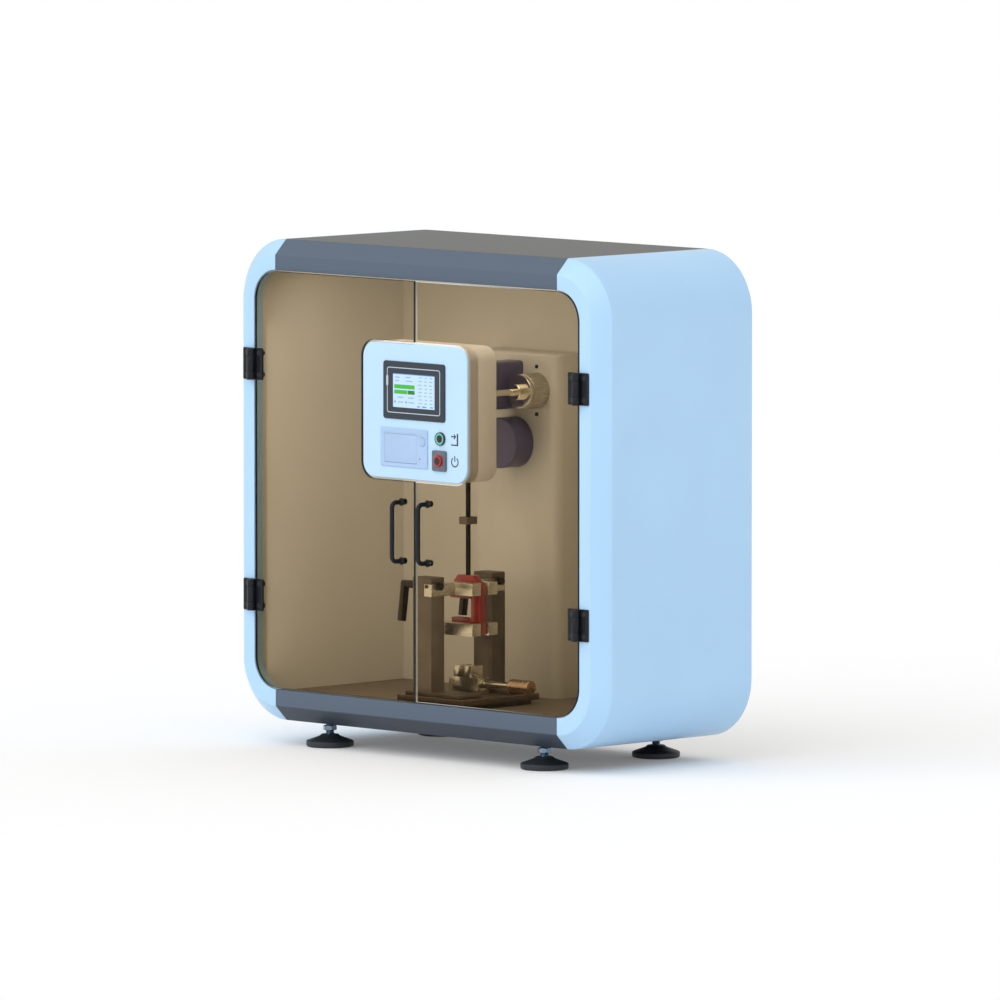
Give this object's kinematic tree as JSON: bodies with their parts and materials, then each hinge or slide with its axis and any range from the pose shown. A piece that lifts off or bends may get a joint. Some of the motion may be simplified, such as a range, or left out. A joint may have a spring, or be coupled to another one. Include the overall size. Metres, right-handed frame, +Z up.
{
  "type": "pendulum impact tester",
  "caption": "Closed cabinet with a rounded surround and tinted glass doors, holding a swinging hammer over a test frame and vise, with a control box in the door plane.",
  "frame": {"origin": "on the ground below the middle of the whole machine, door handles included", "axes": "+Z up, +Y to the back, +X to the right of someone facing the doors"},
  "size_m": [0.85, 0.371, 0.829],
  "materials": {
    "shell_blue": "satin",
    "band_grey": "satin",
    "panel_grey": "satin",
    "chamber_paint": "satin",
    "screw_steel": "satin",
    "black_plastic": "satin",
    "black_metal": "satin",
    "console_blue": "gloss",
    "bezel_grey": "satin",
    "display": "gloss",
    "printer_plastic": "satin",
    "mint_ring": "gloss",
    "escutcheon_steel": "satin",
    "dark_violet": "satin",
    "belt_rubber": "matt",
    "plate_grey": "satin",
    "dark_steel": "satin",
    "bright_steel": "gloss",
    "vise_chrome": "gloss",
    "tinted_glass": "gloss",
    "button_red": "gloss",
    "paper_white": "matt",
    "hammer_red": "satin",
    "foot_rubber": "matt"
  },
  "bodies": {
    "cabinet": {"left_shell": "shell_blue", "right_shell": "shell_blue", "top_shell": "band_grey", "bottom_shell": "band_grey", "back_panel": "panel_grey", "chamber_floor": "chamber_paint", "cabinet_screws": "screw_steel", "power_inlet": "black_plastic", "cabinet_leaves": "black_metal", "console_front": "console_blue", "console_body": "console_blue", "screen_bezel": "bezel_grey", "screen": "display", "printer_bezel": "printer_plastic", "impact_ring": "mint_ring", "power_escutcheon": "escutcheon_steel", "console_arm": "dark_violet", "tower_cover": "chamber_paint", "drive_bracket": "dark_violet", "bearing_housing": "dark_violet", "spindle_bearings": "screw_steel", "lift_motor": "dark_violet", "drive_belt": "belt_rubber", "angle_encoder": "black_metal", "base_plate": "plate_grey", "side_columns": "dark_steel", "upper_arms": "bright_steel", "lower_arms": "bright_steel", "vise_body": "vise_chrome", "frame_screws": "black_metal"},
    "left_door": {"left_door_pane": "tinted_glass", "left_door_leaves": "black_metal", "left_door_screws": "screw_steel", "left_door_handle": "black_metal"},
    "right_door": {"right_door_pane": "tinted_glass", "right_door_leaves": "black_metal", "right_door_screws": "screw_steel", "right_door_handle": "black_metal"},
    "impact_button": {"impact_button": "black_plastic"},
    "power_button": {"power_button": "button_red"},
    "feed_button": {"feed_button": "printer_plastic"},
    "printer_door": {"printer_door": "printer_plastic"},
    "paper_roll": {"paper_roll": "paper_white"},
    "pendulum": {"spindle": "bright_steel", "brake_rotor": "bright_steel", "pendulum_hub": "bright_steel", "pendulum_rod": "black_metal", "hammer": "hammer_red", "striker": "bright_steel"},
    "trim_weight": {"trim_weight": "dark_steel"},
    "driven_pulley": {"driven_pulley": "bright_steel"},
    "motor_pulley": {"motor_pulley": "bright_steel"},
    "front_lever": {"front_lever": "dark_steel"},
    "rear_lever": {"rear_lever": "dark_steel"},
    "vise_screw": {"vise_screw": "vise_chrome"},
    "vise_jaw": {"vise_jaw": "vise_chrome"},
    "foot_1": {"levelling_foot_1": "foot_rubber"},
    "foot_2": {"levelling_foot_2": "foot_rubber"},
    "foot_3": {"levelling_foot_3": "foot_rubber"},
    "foot_4": {"levelling_foot_4": "foot_rubber"}
  },
  "joints": [
    {"name": "left_door_hinge", "type": "hinge", "parent": "cabinet", "child": "left_door", "pos_m": [-0.375, -0.16675, 0.434], "axis": [0, 0, -1], "range_deg": [0, 110]},
    {"name": "right_door_hinge", "type": "hinge", "parent": "cabinet", "child": "right_door", "pos_m": [0.375, -0.16675, 0.434], "axis": [0, 0, 1], "range_deg": [0, 110]},
    {"name": "impact_button_press", "type": "slide", "parent": "cabinet", "child": "impact_button", "axis": [0, 1, 0], "range_m": [0, 0.0025], "stiffness_N_per_m": 400},
    {"name": "power_button_press", "type": "slide", "parent": "cabinet", "child": "power_button", "axis": [0, 1, 0], "range_m": [0, 0.0025], "stiffness_N_per_m": 400},
    {"name": "feed_button_press", "type": "slide", "parent": "cabinet", "child": "feed_button", "axis": [0, 1, 0], "range_m": [0, 0.0015], "stiffness_N_per_m": 300},
    {"name": "printer_door_hinge", "type": "hinge", "parent": "cabinet", "child": "printer_door", "pos_m": [-0.0305, -0.1605, 0.48205], "axis": [1, 0, 0], "range_deg": [0, 80]},
    {"name": "paper_roll_turn", "type": "hinge", "parent": "cabinet", "child": "paper_roll", "pos_m": [-0.0305, -0.1375, 0.5043], "axis": [1, 0, 0], "continuous": true},
    {"name": "pendulum_swing", "type": "hinge", "parent": "cabinet", "child": "pendulum", "pos_m": [0, -0.0378, 0.5847], "axis": [0, 1, 0], "range_deg": [-60, 60]},
    {"name": "trim_weight_slide", "type": "slide", "parent": "pendulum", "child": "trim_weight", "axis": [0, 0, 1], "range_m": [-0.06, 0.12]},
    {"name": "driven_pulley_turn", "type": "hinge", "parent": "cabinet", "child": "driven_pulley", "pos_m": [0, 0.1465, 0.5847], "axis": [0, 1, 0], "continuous": true},
    {"name": "motor_pulley_turn", "type": "hinge", "parent": "cabinet", "child": "motor_pulley", "pos_m": [-0.05, 0.1465, 0.498], "axis": [0, 1, 0], "continuous": true},
    {"name": "front_lever_turn", "type": "hinge", "parent": "cabinet", "child": "front_lever", "pos_m": [-0.0797, -0.1074, 0.2784], "axis": [1, 0, 0], "range_deg": [0, 60]},
    {"name": "rear_lever_turn", "type": "hinge", "parent": "cabinet", "child": "rear_lever", "pos_m": [-0.0797, 0.0318, 0.2784], "axis": [1, 0, 0], "range_deg": [0, 60]},
    {"name": "vise_screw_turn", "type": "hinge", "parent": "cabinet", "child": "vise_screw", "pos_m": [0.035, -0.0378, 0.1188], "axis": [1, 0, 0], "range_deg": [0, 1440]},
    {"name": "vise_jaw_slide", "type": "slide", "parent": "cabinet", "child": "vise_jaw", "axis": [-1, 0, 0], "range_m": [0, 0.008]},
    {"name": "foot_1_turn", "type": "hinge", "parent": "cabinet", "child": "foot_1", "pos_m": [-0.248, -0.1105, 0.02], "axis": [0, 0, 1], "continuous": true},
    {"name": "foot_2_turn", "type": "hinge", "parent": "cabinet", "child": "foot_2", "pos_m": [0.248, -0.1105, 0.02], "axis": [0, 0, 1], "continuous": true},
    {"name": "foot_3_turn", "type": "hinge", "parent": "cabinet", "child": "foot_3", "pos_m": [-0.248, 0.1455, 0.02], "axis": [0, 0, 1], "continuous": true},
    {"name": "foot_4_turn", "type": "hinge", "parent": "cabinet", "child": "foot_4", "pos_m": [0.248, 0.1455, 0.02], "axis": [0, 0, 1], "continuous": true}
  ],
  "couplings": [
    {"joint": "motor_pulley_turn", "follows": "driven_pulley_turn", "ratio": 2},
    {"joint": "vise_jaw_slide", "follows": "vise_screw_turn", "m_per_rad": 0.000318}
  ]
}
